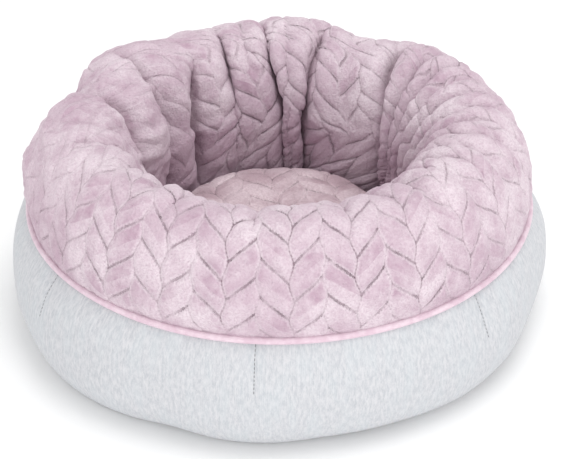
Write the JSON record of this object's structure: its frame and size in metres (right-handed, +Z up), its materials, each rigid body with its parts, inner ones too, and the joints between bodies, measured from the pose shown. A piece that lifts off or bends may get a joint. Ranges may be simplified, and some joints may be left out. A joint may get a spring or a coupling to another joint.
{
  "type": "pet cushion bed",
  "caption": "Round doughnut pet bed: a stuffed plush bolster with piping on a jersey side band, round a padded floor and a loose plush cushion.",
  "frame": {"origin": "centre of the base, on the surface that the bed stands on", "axes": "+Z up along the bed's round axis; +X to the viewer's right and -Y towards the front, where the first dart is"},
  "size_m": [0.5, 0.5, 0.198],
  "materials": {
    "plush": "short embossed velvet pile, herringbone",
    "jersey": "light heather knit jersey",
    "piping_fabric": "smooth bias strip",
    "lining": "plain brushed lining",
    "base_fabric": "plain woven, non-slip",
    "grip_pvc": "matt moulded dots",
    "fibre_fill": "loose polyester fibre",
    "cotton_cord": "twisted filler cord",
    "pink_thread": "sewing thread",
    "grey_thread": "sewing thread"
  },
  "bodies": {
    "bed": {"base_panel": "base_fabric", "grip_dots": "grip_pvc", "base_pad": "fibre_fill", "floor_lining": "lining", "floor_seam_thread": "pink_thread", "side_band": "jersey", "side_dart_threads": "grey_thread", "base_seam_thread": "grey_thread", "piping_cord": "cotton_cord", "piping_cover": "piping_fabric", "piping_seam_thread": "pink_thread", "bolster_cover": "plush", "bolster_fill": "fibre_fill"},
    "cushion": {"cushion_top": "plush", "cushion_underside": "lining", "cushion_fill": "fibre_fill", "cushion_seam_thread": "pink_thread"}
  },
  "joints": [
    {"name": "cushion_lift", "type": "slide", "parent": "bed", "child": "cushion", "axis": [0, 0, 1], "range_m": [0, 0.22]}
  ]
}
